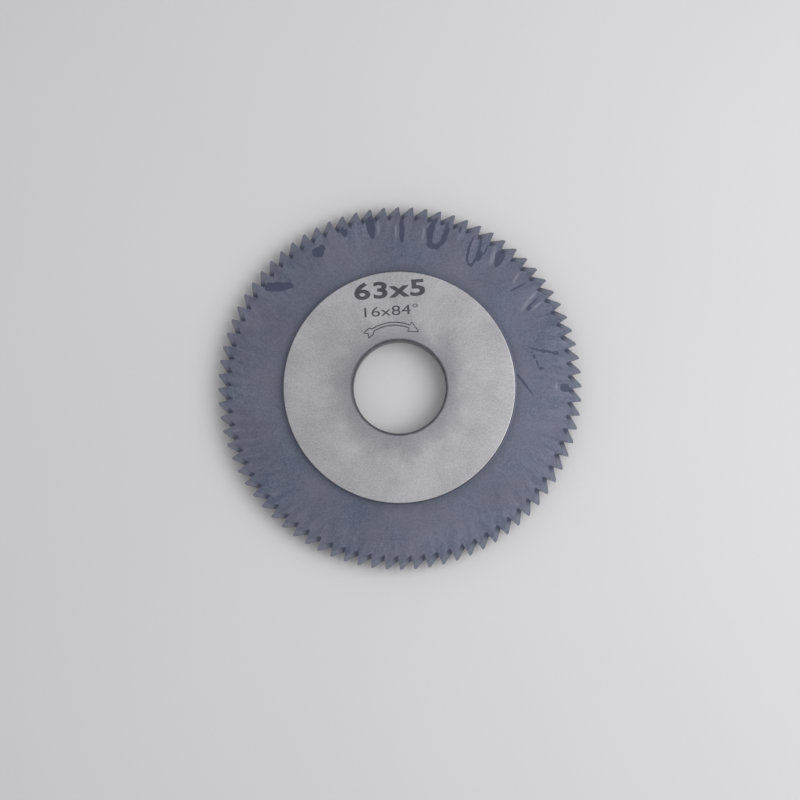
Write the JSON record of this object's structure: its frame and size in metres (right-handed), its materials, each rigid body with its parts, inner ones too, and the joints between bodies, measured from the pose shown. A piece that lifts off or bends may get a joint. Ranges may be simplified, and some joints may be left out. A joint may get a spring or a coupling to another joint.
{
  "type": "key cutting wheel",
  "caption": "Saw-toothed disc cutter with a double-bevelled rim, a raised ground hub and a plain bore, for duplicating keys.",
  "frame": {"origin": "centre of the bore on the lower hub face, which the wheel lies on", "axes": "+Z along the wheel's axis, out of the upper hub face; the cutting faces look clockwise seen from +Z, and one tooth tip lies on +X"},
  "size_m": [0.063, 0.063, 0.005],
  "materials": {
    "tool_steel": "web and teeth blackened to a dull blue-grey, hub faces and bore ground bright"
  },
  "bodies": {
    "root": {"cutting_wheel": "tool_steel"}
  },
  "joints": []
}
